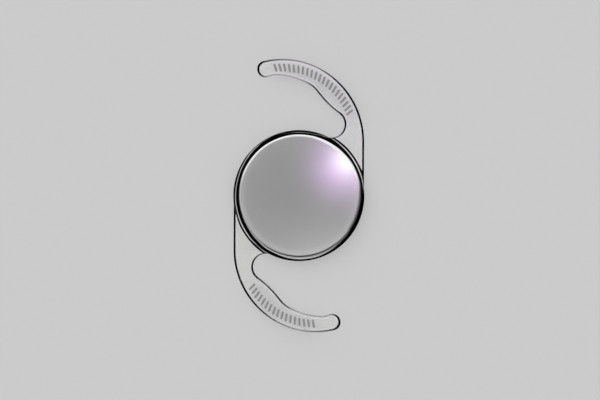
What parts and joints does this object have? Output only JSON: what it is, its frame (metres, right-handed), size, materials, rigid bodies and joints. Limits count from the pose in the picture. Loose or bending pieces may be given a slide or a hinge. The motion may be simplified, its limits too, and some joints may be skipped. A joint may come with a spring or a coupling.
{
  "type": "intraocular lens",
  "caption": "Clear foldable lens for the eye: a biconvex optic with a bevelled rim and a square back edge, centred by flat C-shaped haptics on opposite sides.",
  "frame": {"origin": "the optic's posterior vertex, the lowest point of the lens as it lies on a table with its anterior face up", "axes": "+Z along the optic's axis towards the anterior face, +Y along the overall length towards the haptic that springs from the +X side of the optic, +X across the optic"},
  "size_m": [0.0058, 0.012, 0.0011],
  "materials": {
    "clear_acrylic": "clear water-loving acrylic: both optic faces polished, the haptics' faces faintly satin, the milled walls tumbled"
  },
  "bodies": {
    "root": {"lens_body": "clear_acrylic"}
  },
  "joints": []
}
